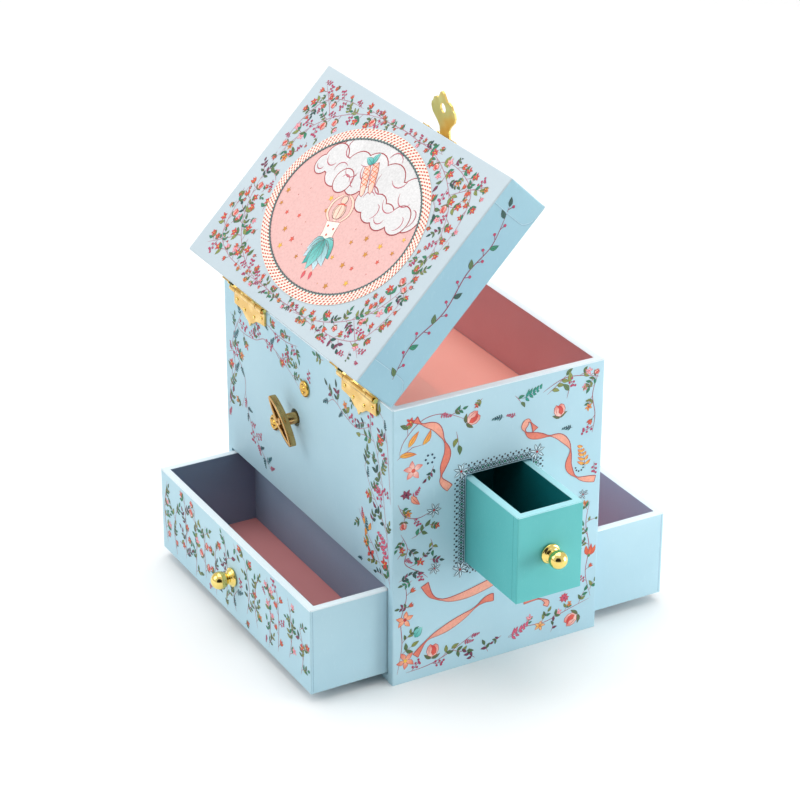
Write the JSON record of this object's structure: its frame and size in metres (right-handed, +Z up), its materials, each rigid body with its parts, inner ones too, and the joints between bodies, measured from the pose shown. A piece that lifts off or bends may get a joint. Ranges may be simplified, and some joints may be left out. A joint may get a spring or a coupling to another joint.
{
  "type": "ballerina jewellery box",
  "caption": "Musical jewellery box with a tray and turning dancer under a hinged lid, drawers sliding out of the back, front and one side, and a key-wound movement.",
  "frame": {"origin": "middle of the underside of the case", "axes": "+Z up; +X along the hinge line; +Y out of the back, where the hinges, the key and one drawer are; the small drawer slides out along -X"},
  "size_m": [0.2001, 0.1919, 0.2234],
  "materials": {
    "sky_paper": "pale blue printed paper over board",
    "salmon_paper": "salmon lining paper over board",
    "slate_paper": "grey lavender lining paper over board",
    "teal_paper": "teal paper over board",
    "dark_teal_paper": "dark teal lining paper over board",
    "polished_brass": "polished, lacquered",
    "aged_brass": "antiqued brass plate",
    "steel": "bright steel",
    "cast_metal": "die cast, unpolished",
    "mirror_glass": "silvered glass",
    "ivory_plastic": "moulded and painted"
  },
  "bodies": {
    "case": {"side_panel_with_opening": "sky_paper", "side_panel_plain": "sky_paper", "front_panel": "sky_paper", "back_panel": "sky_paper", "base_panel": "sky_paper", "drawer_divider": "sky_paper", "drawer_shelf": "sky_paper", "side_drawer_guide_front": "sky_paper", "side_drawer_guide_rear": "sky_paper", "tray_floor": "salmon_paper", "platform_riser": "salmon_paper", "dancer_platform": "salmon_paper", "hinge_left_case_leaf": "polished_brass", "hinge_left_pin": "polished_brass", "hinge_right_case_leaf": "polished_brass", "hinge_right_pin": "polished_brass", "clasp_catch": "polished_brass", "bedplate": "cast_metal", "comb": "steel", "movement_screw_upper": "polished_brass", "movement_screw_lower": "polished_brass"},
    "lid": {"lid_top": "sky_paper", "lid_side_left": "sky_paper", "lid_side_right": "sky_paper", "lid_front": "sky_paper", "lid_back": "sky_paper", "mirror": "mirror_glass", "hinge_left_lid_leaf": "polished_brass", "hinge_right_lid_leaf": "polished_brass", "clasp_plate": "polished_brass", "clasp_pin": "polished_brass"},
    "hasp": {"clasp_hasp": "polished_brass"},
    "back_drawer": {"back_drawer_face": "sky_paper", "back_drawer_rear": "slate_paper", "back_drawer_side_left": "sky_paper", "back_drawer_side_right": "sky_paper", "back_drawer_floor": "salmon_paper", "back_drawer_knob": "polished_brass"},
    "front_drawer": {"front_drawer_face": "sky_paper", "front_drawer_rear": "slate_paper", "front_drawer_side_left": "sky_paper", "front_drawer_side_right": "sky_paper", "front_drawer_floor": "salmon_paper", "front_drawer_knob": "polished_brass"},
    "side_drawer": {"side_drawer_face": "teal_paper", "side_drawer_rear": "dark_teal_paper", "side_drawer_side_left": "teal_paper", "side_drawer_side_right": "teal_paper", "side_drawer_floor": "dark_teal_paper", "side_drawer_knob": "polished_brass"},
    "key": {"winding_key": "aged_brass"},
    "barrel": {"spring_barrel": "polished_brass"},
    "cylinder": {"pin_cylinder": "polished_brass", "cylinder_arbor": "steel", "dancer_spring": "steel", "dancer_figure": "ivory_plastic"},
    "governor": {"governor_wheel": "polished_brass"},
    "fly": {"governor_fly": "steel"},
    "stop": {"stop_rod": "steel"}
  },
  "joints": [
    {"name": "lid_hinge", "type": "hinge", "parent": "case", "child": "lid", "pos_m": [0, 0.05105, 0.12635], "axis": [-1, 0, 0], "range_deg": [-45.9, 54.1]},
    {"name": "hasp_hinge", "type": "hinge", "parent": "lid", "child": "hasp", "pos_m": [0, -0.01753, 0.20179], "axis": [-1, 0, 0], "range_deg": [-138.2, 25]},
    {"name": "back_drawer_slide", "type": "slide", "parent": "case", "child": "back_drawer", "axis": [0, 1, 0], "range_m": [-0.0353, 0.006]},
    {"name": "front_drawer_slide", "type": "slide", "parent": "case", "child": "front_drawer", "axis": [0, -1, 0], "range_m": [-0.0364, 0.005]},
    {"name": "side_drawer_slide", "type": "slide", "parent": "case", "child": "side_drawer", "axis": [-1, 0, 0], "range_m": [-0.0393, 0.015]},
    {"name": "key_turn", "type": "hinge", "parent": "case", "child": "key", "pos_m": [0.0088, 0.04925, 0.0869], "axis": [0, 1, 0], "continuous": true},
    {"name": "cylinder_spin", "type": "hinge", "parent": "case", "child": "cylinder", "pos_m": [0.0088, 0.0295, 0.065], "axis": [0, 0, 1], "continuous": true},
    {"name": "barrel_spin", "type": "hinge", "parent": "case", "child": "barrel", "pos_m": [0.0088, 0.0392, 0.0869], "axis": [0, 1, 0], "continuous": true},
    {"name": "governor_spin", "type": "hinge", "parent": "case", "child": "governor", "pos_m": [0.0225, 0.033, 0.098], "axis": [0, 0, 1], "continuous": true},
    {"name": "fly_spin", "type": "hinge", "parent": "case", "child": "fly", "pos_m": [0.03057, 0.033, 0.09625], "axis": [0, 1, 0], "continuous": true},
    {"name": "stop_slide", "type": "slide", "parent": "case", "child": "stop", "axis": [0, 0, 1], "range_m": [-0.0021, 0.0025]}
  ],
  "couplings": [
    {"joint": "barrel_spin", "follows": "cylinder_spin", "ratio": 0.5},
    {"joint": "governor_spin", "follows": "cylinder_spin", "ratio": -3},
    {"joint": "fly_spin", "follows": "cylinder_spin", "ratio": -27},
    {"joint": "stop_slide", "follows": "lid_hinge", "m_per_rad": 0.0024965}
  ]
}
